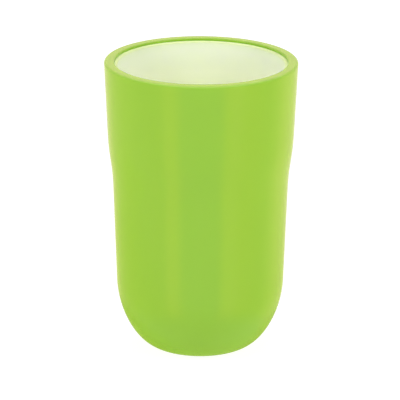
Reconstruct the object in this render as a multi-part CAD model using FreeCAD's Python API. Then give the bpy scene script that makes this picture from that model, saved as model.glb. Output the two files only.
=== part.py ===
"""Double-walled bathroom tumbler. Lengths are in millimetres and angles in degrees.

A gloss shell with a broad rim, a soft shoulder, a tapering wall and a rounded bottom carries a thin
translucent cup with a flared mouth. The cup's collar drops into the shell's mouth, presses a gasket onto a
ledge there and is held down by a snap bead, and its lip closes the joint. A soft ring let into the base keeps
the tumbler from sliding.

+Z is up. The origin lies on the surface that the tumbler stands on, under the middle of its base.
"""

import FreeCAD
import Part

import math
import os

# The whole tumbler
OVERALL_HEIGHT = 115.4
RIM_DIAMETER = 75.0
BASE_DIAMETER = 36.0  # of the flat that the rounded bottom ends in

# Outside of the shell, from the rim down
RIM_WIDTH = 4.0
RIM_OUTER_ROUND = 1.0
RIM_INNER_ROUND = 0.6
UPPER_WALL_DRAFT = 2.45
SHOULDER_DEPTH = 28.3  # from the rim down to where the shoulder starts
SHOULDER_LENGTH = 23.2
SHOULDER_INSET = 2.13  # the wall below the shoulder lies this much further in
SHOULDER_HANDLE_SHARE = 0.5  # of the shoulder's length: how long each end of its S-curve holds its direction
LOWER_WALL_DRAFT = 1.92
BOTTOM_CURVE_HEIGHT = 26.0
BOTTOM_FULLNESS_SHARE = 0.578  # weight of the corner that the bottom curve is drawn towards

# Walls
SHELL_WALL = 2.4
SHELL_FLOOR = 2.8
CUP_WALL = 1.4
CUP_FLOOR = 1.6
AIR_GAP = 1.5  # between the shell and the cup, at the bottom and at the foot of the wall

# Joint between the shell's mouth and the cup's collar
CUP_DROP = 1.05  # from the shell's rim down to the cup's
CUP_EDGE_WIDTH = 1.0
CUP_INNER_ROUND = 0.6
CUP_OUTER_ROUND = 0.1
CUP_LIP_HEIGHT = 1.2  # of the band under the cup's edge that fills the mouth
FLARE_FULLNESS_SHARE = 1.0  # weight of the corner that the flare is drawn towards
COLLAR_LEAD_IN = 0.3
SEAT_DEPTH = 11.0  # from the rim down to the ledge
SEAT_WIDTH = 1.0
GASKET_THICKNESS = 0.8
GASKET_BULGE = 0.12
BEAD_HEIGHT = 1.8
BEAD_STANDOUT = 0.35
FIT_CLEARANCE = 0.1  # between pieces that are pushed together
LIP_CLEARANCE = 0.02  # between the cup's lip and the mouth that it fills
CUP_PASS_CLEARANCE = 0.35  # between the cup's wall and the ledge that it passes

# Underside
FOOT_LAND = 2.0  # flat between the foot ring's groove and the edge of the base
FOOT_WIDTH = 3.0
FOOT_GROOVE_DEPTH = 1.1
FOOT_STANDOUT = 0.4
FOOT_ROUND = 0.35
GATE_WELL_RADIUS = 5.0
GATE_WELL_DEPTH = 0.6
GATE_STUB_RADIUS = 1.2
GATE_STUB_HEIGHT = 0.4

FULL_TURN = 360.0

# Heights that the pieces share
SHELL_BASE_Z = FOOT_STANDOUT
SHELL_FLOOR_Z = SHELL_BASE_Z + SHELL_FLOOR
CUP_BASE_Z = SHELL_FLOOR_Z + AIR_GAP
CUP_FLOOR_Z = CUP_BASE_Z + CUP_FLOOR
BOTTOM_CURVE_Z = SHELL_BASE_Z + BOTTOM_CURVE_HEIGHT
SHOULDER_TOP_Z = OVERALL_HEIGHT - SHOULDER_DEPTH
SHOULDER_FOOT_Z = SHOULDER_TOP_Z - SHOULDER_LENGTH
LEDGE_Z = OVERALL_HEIGHT - SEAT_DEPTH
COLLAR_Z = LEDGE_Z + GASKET_THICKNESS
CUP_TOP_Z = OVERALL_HEIGHT - CUP_DROP
BEAD_Z = (COLLAR_Z + CUP_TOP_Z) / 2

# Radii that the pieces share
BASE_RADIUS = BASE_DIAMETER / 2
RIM_RADIUS = RIM_DIAMETER / 2
MOUTH_RADIUS = RIM_RADIUS - RIM_WIDTH
LEDGE_RADIUS = MOUTH_RADIUS - SEAT_WIDTH
COLLAR_RADIUS = MOUTH_RADIUS - FIT_CLEARANCE
LIP_RADIUS = MOUTH_RADIUS - LIP_CLEARANCE
FOOT_OUTER_RADIUS = BASE_RADIUS - FOOT_LAND
FOOT_INNER_RADIUS = FOOT_OUTER_RADIUS - FOOT_WIDTH

# Walls of the shell: how far each comes in per unit of height, and where it starts and ends
UPPER_SLOPE = math.tan(math.radians(UPPER_WALL_DRAFT))
LOWER_SLOPE = math.tan(math.radians(LOWER_WALL_DRAFT))
SHOULDER_TOP_RADIUS = RIM_RADIUS - SHOULDER_DEPTH * UPPER_SLOPE
SHOULDER_FOOT_RADIUS = SHOULDER_TOP_RADIUS - SHOULDER_INSET
SHELL_FOOT_RADIUS = SHOULDER_FOOT_RADIUS - (SHOULDER_FOOT_Z - BOTTOM_CURVE_Z) * LOWER_SLOPE
SHELL_INNER_RADIUS = SHELL_FOOT_RADIUS - SHELL_WALL

# Wall of the cup: one straight taper from its neck, inside the ledge, to the foot of the shell's wall
CUP_NECK_RADIUS = LEDGE_RADIUS - CUP_PASS_CLEARANCE
CUP_FOOT_RADIUS = SHELL_INNER_RADIUS - AIR_GAP
CUP_INNER_RADIUS = CUP_FOOT_RADIUS - CUP_WALL
CUP_SLOPE = (CUP_NECK_RADIUS - CUP_FOOT_RADIUS) / (COLLAR_Z - BOTTOM_CURVE_Z)
CUP_MOUTH_RADIUS = LIP_RADIUS - CUP_EDGE_WIDTH


def point(radius, height):
    """A point of a section, in the half plane that is turned about the Z axis."""
    return FreeCAD.Vector(radius, 0, height)


class Section:
    """The closed outline of a turned piece, drawn stretch by stretch."""

    def __init__(self, start):
        self.start = start
        self.end = start
        self.edges = []

    def add(self, curve, end):
        self.edges.append(curve.toShape())
        self.end = end

    def line(self, end):
        self.add(Part.LineSegment(self.end, end), end)

    def arc(self, middle, end):
        self.add(Part.Arc(self.end, middle, end), end)

    def rounded_corner(self, corner, onward, radius):
        """A line towards corner, then a tangent arc of this radius that turns towards onward."""
        back = (self.end - corner).normalize()
        ahead = (onward - corner).normalize()
        half_angle = back.getAngle(ahead) / 2
        reach = radius / math.tan(half_angle)
        depth = radius / math.sin(half_angle) - radius
        self.line(corner + back * reach)
        self.arc(corner + (back + ahead).normalize() * depth, corner + ahead * reach)

    def s_curve(self, end, slope, end_slope):
        """An S that leaves along one wall's slope and arrives along the other's."""
        handle = (self.end.z - end.z) * SHOULDER_HANDLE_SHARE
        curve = Part.BezierCurve()
        curve.setPoles(
            [
                self.end,
                self.end - point(handle * slope, handle),
                end + point(handle * end_slope, handle),
                end,
            ]
        )
        self.add(curve, end)

    def conic(self, corner, end, fullness):
        """A curve that is tangent to the two lines that meet in corner, and drawn towards it."""
        curve = Part.BezierCurve()
        curve.setPoles([self.end, corner, end])
        curve.setWeight(2, fullness)
        self.add(curve, end)

    def turned(self):
        """The solid that the outline, closed by a line to its start, sweeps in a full turn."""
        self.line(self.start)
        face = Part.Face(Part.Wire(self.edges))
        return face.revolve(point(0, 0), FreeCAD.Vector(0, 0, 1), FULL_TURN)


def bottom_corner(wall_radius, slope, floor_z):
    """Where a wall that comes in by slope below the start of the bottom curve would meet a floor."""
    return point(wall_radius - (BOTTOM_CURVE_Z - floor_z) * slope, floor_z)


def cup_inside(height):
    """A point of the cup's inner wall, on its straight taper."""
    return point(CUP_INNER_RADIUS + (height - BOTTOM_CURVE_Z) * CUP_SLOPE, height)


def make_outer_shell():
    """The gloss shell, drawn from the snap groove over the rim, down the outside and up the inside."""
    groove_reach = BEAD_HEIGHT / 2 + FIT_CLEARANCE
    section = Section(point(MOUTH_RADIUS, BEAD_Z - groove_reach))
    section.arc(point(MOUTH_RADIUS + BEAD_STANDOUT, BEAD_Z), point(MOUTH_RADIUS, BEAD_Z + groove_reach))

    # Rim
    rim_inner_edge = point(MOUTH_RADIUS, OVERALL_HEIGHT)
    rim_outer_edge = point(RIM_RADIUS, OVERALL_HEIGHT)
    shoulder_top = point(SHOULDER_TOP_RADIUS, SHOULDER_TOP_Z)
    section.rounded_corner(rim_inner_edge, rim_outer_edge, RIM_INNER_ROUND)
    section.rounded_corner(rim_outer_edge, shoulder_top, RIM_OUTER_ROUND)

    # Outside
    section.line(shoulder_top)
    section.s_curve(point(SHOULDER_FOOT_RADIUS, SHOULDER_FOOT_Z), UPPER_SLOPE, LOWER_SLOPE)
    section.line(point(SHELL_FOOT_RADIUS, BOTTOM_CURVE_Z))
    section.conic(
        bottom_corner(SHELL_FOOT_RADIUS, LOWER_SLOPE, SHELL_BASE_Z),
        point(BASE_RADIUS, SHELL_BASE_Z),
        BOTTOM_FULLNESS_SHARE,
    )

    # Underside: the foot ring's groove, and the well that keeps the sprue's stub off the shelf
    groove_z = SHELL_BASE_Z + FOOT_GROOVE_DEPTH
    well_z = SHELL_BASE_Z + GATE_WELL_DEPTH
    stub_z = well_z - GATE_STUB_HEIGHT
    section.line(point(FOOT_OUTER_RADIUS, SHELL_BASE_Z))
    section.line(point(FOOT_OUTER_RADIUS, groove_z))
    section.line(point(FOOT_INNER_RADIUS, groove_z))
    section.line(point(FOOT_INNER_RADIUS, SHELL_BASE_Z))
    section.line(point(GATE_WELL_RADIUS, SHELL_BASE_Z))
    section.line(point(GATE_WELL_RADIUS, well_z))
    section.line(point(GATE_STUB_RADIUS, well_z))
    section.line(point(GATE_STUB_RADIUS, stub_z))
    section.line(point(0, stub_z))

    # Inside
    section.line(point(0, SHELL_FLOOR_Z))
    section.line(point(BASE_RADIUS, SHELL_FLOOR_Z))
    section.conic(
        bottom_corner(SHELL_INNER_RADIUS, LOWER_SLOPE, SHELL_FLOOR_Z),
        point(SHELL_INNER_RADIUS, BOTTOM_CURVE_Z),
        BOTTOM_FULLNESS_SHARE,
    )
    section.line(point(SHOULDER_FOOT_RADIUS - SHELL_WALL, SHOULDER_FOOT_Z))
    section.line(point(LEDGE_RADIUS, LEDGE_Z))
    section.line(point(MOUTH_RADIUS, LEDGE_Z))
    return section.turned()


def make_inner_cup():
    """The translucent cup, drawn from its snap bead over its edge, down the inside and up the outside."""
    bead_reach = BEAD_HEIGHT / 2
    section = Section(point(COLLAR_RADIUS, BEAD_Z - bead_reach))
    section.arc(point(COLLAR_RADIUS + BEAD_STANDOUT, BEAD_Z), point(COLLAR_RADIUS, BEAD_Z + bead_reach))

    # Lip that fills the mouth, so that water stays out of the joint, and edge
    lip_z = CUP_TOP_Z - CUP_LIP_HEIGHT
    outer_edge = point(LIP_RADIUS, CUP_TOP_Z)
    inner_edge = point(CUP_MOUTH_RADIUS, CUP_TOP_Z)
    flare_corner = cup_inside(BEAD_Z)
    section.line(point(COLLAR_RADIUS, lip_z))
    section.line(point(LIP_RADIUS, lip_z + LIP_RADIUS - COLLAR_RADIUS))
    section.rounded_corner(outer_edge, inner_edge, CUP_OUTER_ROUND)
    section.rounded_corner(inner_edge, flare_corner, CUP_INNER_ROUND)

    # Inside: the flare of the mouth runs out into the wall at the foot of the collar
    section.conic(flare_corner, cup_inside(COLLAR_Z), FLARE_FULLNESS_SHARE)
    section.line(cup_inside(BOTTOM_CURVE_Z))
    section.conic(
        bottom_corner(CUP_INNER_RADIUS, CUP_SLOPE, CUP_FLOOR_Z),
        point(BASE_RADIUS, CUP_FLOOR_Z),
        BOTTOM_FULLNESS_SHARE,
    )
    section.line(point(0, CUP_FLOOR_Z))

    # Outside
    section.line(point(0, CUP_BASE_Z))
    section.line(point(BASE_RADIUS, CUP_BASE_Z))
    section.conic(
        bottom_corner(CUP_FOOT_RADIUS, CUP_SLOPE, CUP_BASE_Z),
        point(CUP_FOOT_RADIUS, BOTTOM_CURVE_Z),
        BOTTOM_FULLNESS_SHARE,
    )

    # Collar, with a bevel that leads it into the mouth
    section.line(point(CUP_NECK_RADIUS, COLLAR_Z))
    section.line(point(COLLAR_RADIUS - COLLAR_LEAD_IN, COLLAR_Z))
    section.line(point(COLLAR_RADIUS, COLLAR_Z + COLLAR_LEAD_IN))
    return section.turned()


def make_collar_gasket():
    """The gasket: a soft ring that the collar presses flat on the ledge, so that its sides bulge."""
    inner_radius = LEDGE_RADIUS + GASKET_BULGE
    outer_radius = COLLAR_RADIUS - GASKET_BULGE
    middle_z = (LEDGE_Z + COLLAR_Z) / 2
    section = Section(point(inner_radius, COLLAR_Z))
    section.arc(point(inner_radius - GASKET_BULGE, middle_z), point(inner_radius, LEDGE_Z))
    section.line(point(outer_radius, LEDGE_Z))
    section.arc(point(outer_radius + GASKET_BULGE, middle_z), point(outer_radius, COLLAR_Z))
    return section.turned()


def make_foot_ring():
    """The foot ring: it fills the groove to its top and stands out below the base."""
    inner_radius = FOOT_INNER_RADIUS + FIT_CLEARANCE
    outer_radius = FOOT_OUTER_RADIUS - FIT_CLEARANCE
    top_z = SHELL_BASE_Z + FOOT_GROOVE_DEPTH
    section = Section(point(inner_radius, top_z))
    section.rounded_corner(point(inner_radius, 0), point(outer_radius, 0), FOOT_ROUND)
    section.rounded_corner(point(outer_radius, 0), point(outer_radius, top_z), FOOT_ROUND)
    section.line(point(outer_radius, top_z))
    return section.turned()


pieces = {
    "outer_shell": make_outer_shell(),
    "inner_cup": make_inner_cup(),
    "collar_gasket": make_collar_gasket(),
    "foot_ring": make_foot_ring(),
}

os.makedirs("parts", exist_ok=True)
for name, solid in pieces.items():
    solid.exportStep(f"parts/{name}.step")
    print(f"{name}: {solid.Volume:.0f} cubic millimetres")
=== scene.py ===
import math

import bpy
import numpy as np
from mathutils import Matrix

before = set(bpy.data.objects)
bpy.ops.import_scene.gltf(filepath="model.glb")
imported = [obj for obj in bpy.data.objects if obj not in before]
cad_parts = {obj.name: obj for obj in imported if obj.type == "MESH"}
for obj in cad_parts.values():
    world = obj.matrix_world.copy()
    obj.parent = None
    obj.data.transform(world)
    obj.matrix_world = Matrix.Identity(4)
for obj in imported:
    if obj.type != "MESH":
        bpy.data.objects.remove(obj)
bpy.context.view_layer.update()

# Outer shell: one injection moulding of polystyrene, dyed through in lime green, from the broad rim over the
# shoulder to the rounded bottom. The melt enters at the middle of the base. All other pieces fix to it.

SHELL_GREEN = "#90C12C"
SHELL_GREEN_DEEP = "#8CBF24"
# Greyer green: painted light on the rim's top, and rubbed wear on the foot.
SHELL_GREEN_RUBBED_AND_PAINTED_LIGHT = "#9ABE2A"
SHELL_STREAK_WIDTH_MM = 16.0
SHELL_STREAK_LENGTH_MM = 90.0
SHELL_STREAK_DETAIL = 2.0
SHELL_WAVE_MM = 7.0
SHELL_WAVE_DETAIL = 0.0
SHELL_WAVE_DEPTH = 0.0005
SHELL_WAVE_STRENGTH = 0.05
SHELL_SCUFF_WIDTH_MM = 1.0
SHELL_SCUFF_LENGTH_MM = 12.0
SHELL_SCUFF_DETAIL = 1.0
SHELL_SCUFF_FAINT = 0.5
SHELL_SCUFF_FULL = 0.8
SHELL_SCUFF_SLOPE = (math.radians(14), math.radians(9), 0)
SHELL_RIM_MM = 115.4
SHELL_RIM_PAINTED_LIGHT_AND_RUB_MM = 0.5
SHELL_FOOT_RUB_MM = 2.5
SHELL_ROUGHNESS = 0.10
SHELL_SCUFFED_ROUGHNESS = 0.16
SHELL_RUBBED_ROUGHNESS = 0.22
SHELL_UNDER_SKIN_SHARE = 0.2
SHELL_UNDER_SKIN_DEPTH = 0.001
SHELL_UNDER_SKIN_TINT = (0.6, 1.0, 0.1)
POLYSTYRENE_IOR = 1.59


def linear(hex_colour):
    """An sRGB hex colour as linear RGBA, by the two branches of the sRGB curve."""
    srgb = np.array([int(hex_colour[i : i + 2], 16) for i in (1, 3, 5)]) / 255
    values = np.where(srgb <= 0.04045, srgb / 12.92, ((srgb + 0.055) / 1.055) ** 2.4)
    return (*values.tolist(), 1.0)


def per_metre(size_mm):
    """How often a pattern of this size repeats in a metre, which is the scale that a texture node takes."""
    return 1000.0 / size_mm


def stretched(level_mm, upright_mm):
    """The three scales of a pattern that has one size in both level directions and another one upright."""
    return (per_metre(level_mm), per_metre(level_mm), per_metre(upright_mm))


def add_node(tree, kind, settings=None, inputs=None):
    """Adds a node, sets its own settings, and links each input to a socket or sets it to a value."""
    node = tree.nodes.new(kind)
    for name, value in (settings or {}).items():
        setattr(node, name, value)
    for name, value in (inputs or {}).items():
        if isinstance(value, bpy.types.NodeSocket):
            tree.links.new(value, node.inputs[name])
        else:
            node.inputs[name].default_value = value
    return node


def new_material(name):
    """An empty node material, with a Principled shader linked to its output. Returns it and the shader."""
    material = bpy.data.materials.new(name)
    material.use_nodes = True
    tree = material.node_tree
    tree.nodes.clear()
    shader = add_node(tree, "ShaderNodeBsdfPrincipled")
    add_node(tree, "ShaderNodeOutputMaterial", None, {"Surface": shader.outputs["BSDF"]})
    return material, shader


# Polystyrene from a polished mould: hard and glossy, with colour that comes from just under the skin. Faint
# streaks run up from the gate, and the skin is as slightly wavy as the shrinking melt leaves it.
polystyrene, shader = new_material("polystyrene_lime_gloss_moulded")
tree = polystyrene.node_tree
place = add_node(tree, "ShaderNodeTexCoord").outputs["Object"]
streak_place = add_node(
    tree,
    "ShaderNodeMapping",
    None,
    {"Vector": place, "Scale": stretched(SHELL_STREAK_WIDTH_MM, SHELL_STREAK_LENGTH_MM)},
)
streaks = add_node(
    tree,
    "ShaderNodeTexNoise",
    None,
    {"Vector": streak_place.outputs["Vector"], "Scale": 1.0, "Detail": SHELL_STREAK_DETAIL},
)
dye = add_node(
    tree,
    "ShaderNodeMix",
    {"data_type": "RGBA"},
    {"Factor": streaks.outputs["Fac"], "A": linear(SHELL_GREEN), "B": linear(SHELL_GREEN_DEEP)},
)

# Scuffs from hands and holders run round the wall and dull it. Real ones are under 0.1 mm wide, and they are
# drawn ten times as wide, so that they show.
scuff_place = add_node(
    tree,
    "ShaderNodeMapping",
    None,
    {
        "Vector": place,
        "Rotation": SHELL_SCUFF_SLOPE,
        "Scale": stretched(SHELL_SCUFF_LENGTH_MM, SHELL_SCUFF_WIDTH_MM),
    },
)
scuffs = add_node(
    tree,
    "ShaderNodeTexNoise",
    None,
    {"Vector": scuff_place.outputs["Vector"], "Scale": 1.0, "Detail": SHELL_SCUFF_DETAIL},
)
gloss = add_node(
    tree,
    "ShaderNodeMapRange",
    None,
    {
        "Value": scuffs.outputs["Fac"],
        "From Min": SHELL_SCUFF_FAINT,
        "From Max": SHELL_SCUFF_FULL,
        "To Min": SHELL_ROUGHNESS,
        "To Max": SHELL_SCUFFED_ROUGHNESS,
    },
)

# The rim's top half millimetre is painted greyer, as painted light for how the lamps make it look, and it is
# duller where the tumbler dries on it. The foot is rubbed greyer and duller, because the tumbler stands on
# it.
height = add_node(tree, "ShaderNodeSeparateXYZ", None, {"Vector": place}).outputs["Z"]
rim_painted_light_and_rub = add_node(
    tree,
    "ShaderNodeMapRange",
    None,
    {"Value": height, "From Min": (SHELL_RIM_MM - SHELL_RIM_PAINTED_LIGHT_AND_RUB_MM) / 1000, "From Max": SHELL_RIM_MM / 1000},
)
foot_rub = add_node(
    tree,
    "ShaderNodeMapRange",
    None,
    {"Value": height, "From Min": SHELL_FOOT_RUB_MM / 1000, "From Max": 0.0},
)
rub_and_painted_light = add_node(
    tree,
    "ShaderNodeMath",
    {"operation": "MAXIMUM"},
    {0: rim_painted_light_and_rub.outputs["Result"], 1: foot_rub.outputs["Result"]},
)
# Painted light on the rim's top and wear on the foot: both turn the green greyer.
rubbed_and_painted_dye = add_node(
    tree,
    "ShaderNodeMix",
    {"data_type": "RGBA"},
    {"Factor": rub_and_painted_light.outputs[0], "A": dye.outputs["Result"], "B": linear(SHELL_GREEN_RUBBED_AND_PAINTED_LIGHT)},
)
rubbed_gloss = add_node(
    tree,
    "ShaderNodeMix",
    None,
    {"Factor": rub_and_painted_light.outputs[0], "A": gloss.outputs["Result"], "B": SHELL_RUBBED_ROUGHNESS},
)
waves = add_node(
    tree,
    "ShaderNodeTexNoise",
    None,
    {"Vector": place, "Scale": per_metre(SHELL_WAVE_MM), "Detail": SHELL_WAVE_DETAIL},
)
skin = add_node(
    tree,
    "ShaderNodeBump",
    None,
    {"Height": waves.outputs["Fac"], "Strength": SHELL_WAVE_STRENGTH, "Distance": SHELL_WAVE_DEPTH},
)
tree.links.new(rubbed_and_painted_dye.outputs["Result"], shader.inputs["Base Color"])
tree.links.new(rubbed_gloss.outputs["Result"], shader.inputs["Roughness"])
tree.links.new(skin.outputs["Normal"], shader.inputs["Normal"])
shader.inputs["IOR"].default_value = POLYSTYRENE_IOR
shader.inputs["Subsurface Weight"].default_value = SHELL_UNDER_SKIN_SHARE
shader.inputs["Subsurface Radius"].default_value = SHELL_UNDER_SKIN_TINT
shader.inputs["Subsurface Scale"].default_value = SHELL_UNDER_SKIN_DEPTH
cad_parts["outer_shell"].data.materials[0] = polystyrene

# Foot ring: a band of silicone, cast in its own mould and pressed into the groove under the base. It is the
# only piece that touches the shelf, and it keeps the hard shell from sliding.

SILICONE_GREY = "#D9DAD5"
SILICONE_DUSTY = "#CBCCC6"
SILICONE_DUST_MM = 1.2
SILICONE_DUST_DETAIL = 4.0
SILICONE_DUST_FAINT = 0.35
SILICONE_DUST_FULL = 0.65
SILICONE_PEBBLE_MM = 0.4
SILICONE_PEBBLE_DEPTH = 0.0001
SILICONE_PEBBLE_STRENGTH = 0.2
SILICONE_ROUGHNESS = 0.52
SILICONE_DUSTY_ROUGHNESS = 0.72
SILICONE_UNDER_SKIN_SHARE = 0.3
SILICONE_UNDER_SKIN_DEPTH = 0.001
SILICONE_UNDER_SKIN_TINT = (1.0, 1.0, 0.9)
SILICONE_IOR = 1.41

# Silicone from a blasted mould: milky, dull and slightly tacky, so it holds dust that greys it in spots. The
# blasted grain is about 0.1 mm, and it is drawn four times as coarse, so that it shows.
silicone, shader = new_material("silicone_translucent_cast")
tree = silicone.node_tree
place = add_node(tree, "ShaderNodeTexCoord").outputs["Object"]
dust = add_node(
    tree,
    "ShaderNodeTexNoise",
    None,
    {"Vector": place, "Scale": per_metre(SILICONE_DUST_MM), "Detail": SILICONE_DUST_DETAIL},
)
tint = add_node(
    tree,
    "ShaderNodeMix",
    {"data_type": "RGBA"},
    {"Factor": dust.outputs["Fac"], "A": linear(SILICONE_GREY), "B": linear(SILICONE_DUSTY)},
)
dullness = add_node(
    tree,
    "ShaderNodeMapRange",
    None,
    {
        "Value": dust.outputs["Fac"],
        "From Min": SILICONE_DUST_FAINT,
        "From Max": SILICONE_DUST_FULL,
        "To Min": SILICONE_ROUGHNESS,
        "To Max": SILICONE_DUSTY_ROUGHNESS,
    },
)
pebbles = add_node(
    tree,
    "ShaderNodeTexNoise",
    None,
    {"Vector": place, "Scale": per_metre(SILICONE_PEBBLE_MM)},
)
skin = add_node(
    tree,
    "ShaderNodeBump",
    None,
    {
        "Height": pebbles.outputs["Fac"],
        "Strength": SILICONE_PEBBLE_STRENGTH,
        "Distance": SILICONE_PEBBLE_DEPTH,
    },
)
tree.links.new(tint.outputs["Result"], shader.inputs["Base Color"])
tree.links.new(dullness.outputs["Result"], shader.inputs["Roughness"])
tree.links.new(skin.outputs["Normal"], shader.inputs["Normal"])
shader.inputs["IOR"].default_value = SILICONE_IOR
shader.inputs["Subsurface Weight"].default_value = SILICONE_UNDER_SKIN_SHARE
shader.inputs["Subsurface Radius"].default_value = SILICONE_UNDER_SKIN_TINT
shader.inputs["Subsurface Scale"].default_value = SILICONE_UNDER_SKIN_DEPTH
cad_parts["foot_ring"].data.materials[0] = silicone

# Collar gasket: a thin ring of the same silicone, which lies on the ledge in the mouth. The collar of the cup
# presses it flat, so that water stays out of the space between the two walls.

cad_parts["collar_gasket"].data.materials[0] = silicone

# Inner cup: a thin moulding of natural polypropylene with a flared mouth. Its collar snaps into the mouth of
# the shell
# and stays there. Painted light: the green of the shell behind it is painted into its colour, most below the
# collar, and its top edge, where it meets the rim, is a darker painted shade.

# The tint at each height above the shelf, in millimetres: the cup's own milky pale green, with the shell's
# green painted in as painted light and a darker painted shade at the top edge.
CUP_TINTS_AND_PAINTED_LIGHT = (
    (40.0, "#F4FADD"),
    (88.0, "#F3FBD3"),
    (102.0, "#F9FDE5"),
    (111.0, "#F2F7E3"),
    (113.4, "#EDF5D9"),
    (114.3, "#DDEBA5"),
)
CUP_TINT_FOOT_MM = 40.0
CUP_TINT_TOP_MM = 115.0
CUP_CLOUD = "#FAFCF8"
CUP_CLOUD_MM = 20.0
CUP_LINE_WIDTH_MM = 0.6
CUP_LINE_LENGTH_MM = 30.0
CUP_LINE_DETAIL = 2.0
CUP_LINE_FAINT = 0.35
CUP_LINE_FULL = 0.65
CUP_LINE_DEPTH = 0.0001
CUP_LINE_STRENGTH = 0.05
CUP_ROUGHNESS = 0.36
CUP_LINED_ROUGHNESS = 0.46
CUP_UNDER_SKIN_SHARE = 0.3
CUP_UNDER_SKIN_DEPTH = 0.001
CUP_UNDER_SKIN_TINT = (1.0, 1.0, 0.6)
POLYPROPYLENE_IOR = 1.49


def fill_ramp(ramp, start, end, stops):
    """Puts hex colours on a colour ramp, each at its value's share of the way from start to end."""
    while len(ramp.elements) < len(stops):
        ramp.elements.new(0.5)
    for element, (value, colour) in zip(ramp.elements, stops):
        element.position = (value - start) / (end - start)
        element.color = linear(colour)


# Polypropylene from a core that was polished lengthwise: milky and satin, with soft clouds where the wall
# cools unevenly. The polishing lines are under 0.1 mm wide, and they are drawn coarser, so that they show.
polypropylene, shader = new_material("polypropylene_natural_satin_moulded")
tree = polypropylene.node_tree
place = add_node(tree, "ShaderNodeTexCoord").outputs["Object"]
height = add_node(tree, "ShaderNodeSeparateXYZ", None, {"Vector": place}).outputs["Z"]
# Painted light by height: the shell's green painted into the wall, and a painted shade along the top edge.
height_share = add_node(
    tree,
    "ShaderNodeMapRange",
    None,
    {"Value": height, "From Min": CUP_TINT_FOOT_MM / 1000, "From Max": CUP_TINT_TOP_MM / 1000},
)
tint = add_node(tree, "ShaderNodeValToRGB", None, {"Fac": height_share.outputs["Result"]})
fill_ramp(tint.color_ramp, CUP_TINT_FOOT_MM, CUP_TINT_TOP_MM, CUP_TINTS_AND_PAINTED_LIGHT)
clouds = add_node(tree, "ShaderNodeTexNoise", None, {"Vector": place, "Scale": per_metre(CUP_CLOUD_MM)})
clouded_tint = add_node(
    tree,
    "ShaderNodeMix",
    {"data_type": "RGBA", "blend_type": "MULTIPLY"},
    {"Factor": clouds.outputs["Fac"], "A": tint.outputs["Color"], "B": linear(CUP_CLOUD)},
)
line_place = add_node(
    tree,
    "ShaderNodeMapping",
    None,
    {"Vector": place, "Scale": stretched(CUP_LINE_WIDTH_MM, CUP_LINE_LENGTH_MM)},
)
lines = add_node(
    tree,
    "ShaderNodeTexNoise",
    None,
    {"Vector": line_place.outputs["Vector"], "Scale": 1.0, "Detail": CUP_LINE_DETAIL},
)
satin = add_node(
    tree,
    "ShaderNodeMapRange",
    None,
    {
        "Value": lines.outputs["Fac"],
        "From Min": CUP_LINE_FAINT,
        "From Max": CUP_LINE_FULL,
        "To Min": CUP_ROUGHNESS,
        "To Max": CUP_LINED_ROUGHNESS,
    },
)
skin = add_node(
    tree,
    "ShaderNodeBump",
    None,
    {"Height": lines.outputs["Fac"], "Strength": CUP_LINE_STRENGTH, "Distance": CUP_LINE_DEPTH},
)
tree.links.new(clouded_tint.outputs["Result"], shader.inputs["Base Color"])
tree.links.new(satin.outputs["Result"], shader.inputs["Roughness"])
tree.links.new(skin.outputs["Normal"], shader.inputs["Normal"])
shader.inputs["IOR"].default_value = POLYPROPYLENE_IOR
shader.inputs["Subsurface Weight"].default_value = CUP_UNDER_SKIN_SHARE
shader.inputs["Subsurface Radius"].default_value = CUP_UNDER_SKIN_TINT
shader.inputs["Subsurface Scale"].default_value = CUP_UNDER_SKIN_DEPTH
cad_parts["inner_cup"].data.materials[0] = polypropylene

# Floor: a light table, a wide plate of white acrylic that runs past the view on every side. It glows, so the
# tumbler throws almost no shadow on it. The shell's gloss alone mirrors a painted shadow: a glowing green
# sheet laid on it, seen only in reflections, which stands in for the shade and the green that the tumbler
# casts.

FLOOR_WHITE = "#7C7C7A"
FLOOR_ROUGHNESS = 0.6
FLOOR_GLOW = 0.90
FLOOR_RADIUS = 6.0
FLOOR_SIDES = 128


def floor_oval(name, middle, width, length, material):
    """A flat oval at floor level: its width times the cosine of its angle, and its length times the sine."""
    angle = np.arange(FLOOR_SIDES) * (2 * math.pi / FLOOR_SIDES)
    across = middle[0] + width * np.cos(angle)
    along = middle[1] + length * np.sin(angle)
    edge = np.stack([across, along, 0 * angle], axis=-1)
    mesh = bpy.data.meshes.new(name)
    mesh.from_pydata(edge.tolist(), [], [list(range(FLOOR_SIDES))])
    mesh.materials.append(material)
    oval = bpy.data.objects.new(name, mesh)
    bpy.context.scene.collection.objects.link(oval)
    return oval


# Cast acrylic, lit from below: an even, edgeless white.
acrylic, shader = new_material("acrylic_white_cast_lit_from_below")
shader.inputs["Base Color"].default_value = linear(FLOOR_WHITE)
shader.inputs["Roughness"].default_value = FLOOR_ROUGHNESS
shader.inputs["Emission Color"].default_value = linear("#FFFFFF")
shader.inputs["Emission Strength"].default_value = FLOOR_GLOW
floor_oval("floor", (0.0, 0.0), FLOOR_RADIUS, FLOOR_RADIUS, acrylic).visible_glossy = False

# The painted shadow, a glowing sheet that only the gloss sees, is widest behind the tumbler, and deepest
# where the rounded bottom comes down to it. Each oval has a middle, half a width, half a length, the share of
# it that is full, and its cover there.
PAINTED_SHADOW_GLOW = 1.0
PAINTED_CAST_SHADOW_TINT = "#E2E77C"
PAINTED_CAST_SHADOW_OVAL = ((-0.054, 0.06), 0.221, 0.166, 0.3, 0.56)
PAINTED_CONTACT_SHADOW_TINT = "#B0C656"
PAINTED_CONTACT_SHADOW_OVAL = ((-0.005, 0.018), 0.068, 0.060, 0.55, 0.95)

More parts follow.
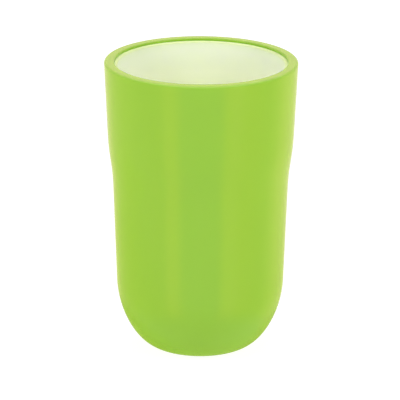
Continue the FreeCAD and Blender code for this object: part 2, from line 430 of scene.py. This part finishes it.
# Painted shadow: an emission sheet, green where the tumbler's shade would fall, which only glossy rays see.
painted_shadow_material, shader = new_material("painted_green_shadow_on_acrylic")
tree = painted_shadow_material.node_tree
place = add_node(tree, "ShaderNodeTexCoord").outputs["Object"]
shadow_covers = []
for middle, width, length, full_share, full_cover in (PAINTED_CAST_SHADOW_OVAL, PAINTED_CONTACT_SHADOW_OVAL):
    oval_place = add_node(
        tree,
        "ShaderNodeMapping",
        {"vector_type": "TEXTURE"},
        {"Vector": place, "Location": (*middle, 0), "Scale": (width, length, 1)},
    )
    reach = add_node(tree, "ShaderNodeVectorMath", {"operation": "LENGTH"}, {0: oval_place.outputs["Vector"]})
    cover = add_node(
        tree,
        "ShaderNodeMapRange",
        {"interpolation_type": "SMOOTHSTEP"},
        {
            "Value": reach.outputs["Value"],
            "From Min": full_share,
            "From Max": 1.0,
            "To Min": full_cover,
            "To Max": 0.0,
        },
    )
    shadow_covers.append(cover.outputs["Result"])
deepest = add_node(tree, "ShaderNodeMath", {"operation": "MAXIMUM"}, {0: shadow_covers[0], 1: shadow_covers[1]})
green = add_node(
    tree,
    "ShaderNodeMix",
    {"data_type": "RGBA"},
    {"Factor": shadow_covers[1], "A": linear(PAINTED_CAST_SHADOW_TINT), "B": linear(PAINTED_CONTACT_SHADOW_TINT)},
)
tree.links.new(deepest.outputs[0], shader.inputs["Alpha"])
tree.links.new(green.outputs["Result"], shader.inputs["Emission Color"])
shader.inputs["Emission Strength"].default_value = PAINTED_SHADOW_GLOW
shader.inputs["Base Color"].default_value = linear("#000000")
painted_shadow_on_floor = floor_oval("painted_shadow_on_floor", *PAINTED_CAST_SHADOW_OVAL[:3], painted_shadow_material)
painted_shadow_on_floor.visible_camera = False
painted_shadow_on_floor.visible_diffuse = False
painted_shadow_on_floor.visible_transmission = False
painted_shadow_on_floor.visible_shadow = False

# Lamps: a softbox on each side of the camera, well above the mouth, and weaker ones behind and overhead. They
# light the wall evenly, and a snoot lights the bottom of the cup. The cloth of the tent hides all of them
# from the gloss.

LAMP_AIM_HEIGHT = 0.08
LAMP_DISTANCE = 1.3
LAMP_SIZE = 0.5
SIDE_BEARING = math.radians(58)
SIDE_ELEVATION = math.radians(36)
SIDE_POWER = 7.9
REAR_BEARING = math.radians(180)
REAR_ELEVATION = math.radians(50)
REAR_POWER = 3.0
OVERHEAD_ELEVATION = math.radians(88)
OVERHEAD_DISTANCE = 1.2
OVERHEAD_SIZE = 0.7
OVERHEAD_POWER = 2.1


def add_softbox(name, bearing, elevation, distance, size, power):
    """A square lamp on a sphere round the tumbler, at a bearing from the camera, that faces its middle."""
    lamp_data = bpy.data.lights.new(name, "AREA")
    lamp_data.size = size
    lamp_data.energy = power
    lamp = bpy.data.objects.new(name, lamp_data)
    lamp.location = (
        distance * math.cos(elevation) * math.sin(bearing),
        -distance * math.cos(elevation) * math.cos(bearing),
        LAMP_AIM_HEIGHT + distance * math.sin(elevation),
    )
    lamp.rotation_euler = (math.pi / 2 - elevation, 0.0, bearing)
    lamp.visible_glossy = False
    bpy.context.scene.collection.objects.link(lamp)


add_softbox("softbox_left", -SIDE_BEARING, SIDE_ELEVATION, LAMP_DISTANCE, LAMP_SIZE, SIDE_POWER)
add_softbox("softbox_right", SIDE_BEARING, SIDE_ELEVATION, LAMP_DISTANCE, LAMP_SIZE, SIDE_POWER)
add_softbox("softbox_rear", REAR_BEARING, REAR_ELEVATION, LAMP_DISTANCE, LAMP_SIZE, REAR_POWER)
add_softbox("softbox_overhead", 0.0, OVERHEAD_ELEVATION, OVERHEAD_DISTANCE, OVERHEAD_SIZE, OVERHEAD_POWER)

# The snoot hangs over the mouth and sends a narrow beam straight down, which misses the rim.
SNOOT_RISE = 1.2
SNOOT_BEAM_RADIUS = 0.029
SNOOT_OPENING = 0.004
SNOOT_BLEND = 0.3
SNOOT_POWER = 17.0

snoot_data = bpy.data.lights.new("snoot", "SPOT")
snoot_data.energy = SNOOT_POWER
snoot_data.spot_size = 2 * math.atan2(SNOOT_BEAM_RADIUS, SNOOT_RISE)
snoot_data.spot_blend = SNOOT_BLEND
snoot_data.shadow_soft_size = SNOOT_OPENING
snoot = bpy.data.objects.new("snoot", snoot_data)
snoot.location = (0.0, 0.0, SHELL_RIM_MM / 1000 + SNOOT_RISE)
snoot.visible_glossy = False
bpy.context.scene.collection.objects.link(snoot)

# Studio: a round tent of pale cloth, which the gloss alone mirrors. It is brightest in front of the two side
# lamps, cream beside and behind the tumbler, and dim and grey where the camera looks in. The camera sees a
# plain white backdrop.

ROOM_STRENGTH = 0.30
BACKDROP_STRENGTH = 1.1
TENT_STRENGTH = 1.9
TENT_LENS_SIDE = "#BCB9B3"
TENT_LAMP = "#FDE4AC"
TENT_LEFT = "#D7CCA5"
TENT_RIGHT = "#ECD89C"
TENT_CREAM = "#D0C694"
TENT_BACK = "#BCBCA8"
TENT_ROOF = "#CFC6AA"
TENT_TOP = "#FFF2F6"
TENT_FLOOR = "#B9B9B6"

# The wall's colours by bearing from the camera, in degrees to the right.
TENT_WALL = (
    (-180, TENT_BACK),
    (-150, TENT_CREAM),
    (-110, TENT_CREAM),
    (-80, TENT_LEFT),
    (-50, TENT_LEFT),
    (-44, TENT_LAMP),
    (-33, TENT_LAMP),
    (-22, TENT_LENS_SIDE),
    (24, TENT_LENS_SIDE),
    (33, TENT_LAMP),
    (46, TENT_LAMP),
    (58, TENT_RIGHT),
    (90, TENT_CREAM),
    (120, TENT_RIGHT),
    (150, TENT_CREAM),
    (180, TENT_BACK),
)

# The sine of the elevation where each colour above or below the wall starts, and where it is full.
TENT_LEVELS = (
    (TENT_ROOF, -0.05, 0.15),
    (TENT_TOP, 0.45, 0.75),
    (TENT_FLOOR, -0.55, -0.75),
)

world = bpy.data.worlds.new("studio")
bpy.context.scene.world = world
world.use_nodes = True
tree = world.node_tree
tree.nodes.clear()
toward = add_node(tree, "ShaderNodeTexCoord").outputs["Generated"]
axes = add_node(tree, "ShaderNodeSeparateXYZ", None, {"Vector": toward})
ahead = add_node(tree, "ShaderNodeMath", {"operation": "MULTIPLY"}, {0: axes.outputs["Y"], 1: -1.0})
bearing = add_node(
    tree,
    "ShaderNodeMath",
    {"operation": "ARCTAN2"},
    {0: axes.outputs["X"], 1: ahead.outputs[0]},
)
bearing_share = add_node(
    tree,
    "ShaderNodeMapRange",
    None,
    {"Value": bearing.outputs[0], "From Min": -math.pi, "From Max": math.pi},
)
wall = add_node(tree, "ShaderNodeValToRGB", None, {"Fac": bearing_share.outputs["Result"]})
fill_ramp(wall.color_ramp, -180, 180, TENT_WALL)
cloth = wall.outputs["Color"]
for colour, start, full in TENT_LEVELS:
    reach = add_node(
        tree,
        "ShaderNodeMapRange",
        None,
        {"Value": axes.outputs["Z"], "From Min": start, "From Max": full},
    )
    cloth = add_node(
        tree,
        "ShaderNodeMix",
        {"data_type": "RGBA"},
        {"Factor": reach.outputs["Result"], "A": cloth, "B": linear(colour)},
    ).outputs["Result"]
tent = add_node(tree, "ShaderNodeBackground", None, {"Color": cloth, "Strength": TENT_STRENGTH})
room = add_node(
    tree,
    "ShaderNodeBackground",
    None,
    {"Color": linear("#FFFFFF"), "Strength": ROOM_STRENGTH},
)
backdrop = add_node(
    tree,
    "ShaderNodeBackground",
    None,
    {"Color": linear("#FFFFFF"), "Strength": BACKDROP_STRENGTH},
)
ray = add_node(tree, "ShaderNodeLightPath")
room_or_tent = add_node(
    tree,
    "ShaderNodeMixShader",
    None,
    {0: ray.outputs["Is Glossy Ray"], 1: room.outputs["Background"], 2: tent.outputs["Background"]},
)
studio = add_node(
    tree,
    "ShaderNodeMixShader",
    None,
    {0: ray.outputs["Is Camera Ray"], 1: room_or_tent.outputs["Shader"], 2: backdrop.outputs["Background"]},
)
add_node(tree, "ShaderNodeOutputWorld", None, {"Surface": studio.outputs["Shader"]})

# Camera: a long lens a little above the mouth, which keeps the tumbler's sides almost parallel. It is turned
# slightly about its own axis, as the photograph is.

CAMERA_DISTANCE = 1.0
CAMERA_ELEVATION = math.radians(18.42)
CAMERA_ROLL = math.radians(0.30)
CAMERA_AIM = (-0.00019, 0.0, 0.05866)
CAMERA_LENS_MM = 229.5

camera_data = bpy.data.cameras.new("camera")
camera_data.lens = CAMERA_LENS_MM
camera = bpy.data.objects.new("camera", camera_data)
camera.location = (
    CAMERA_AIM[0],
    CAMERA_AIM[1] - CAMERA_DISTANCE * math.cos(CAMERA_ELEVATION),
    CAMERA_AIM[2] + CAMERA_DISTANCE * math.sin(CAMERA_ELEVATION),
)
camera.rotation_euler = (math.pi / 2 - CAMERA_ELEVATION, 0.0, 0.0)
camera.rotation_euler.rotate_axis("Z", CAMERA_ROLL)
bpy.context.scene.collection.objects.link(camera)
bpy.context.scene.camera = camera
bpy.context.scene.view_settings.view_transform = "Standard"
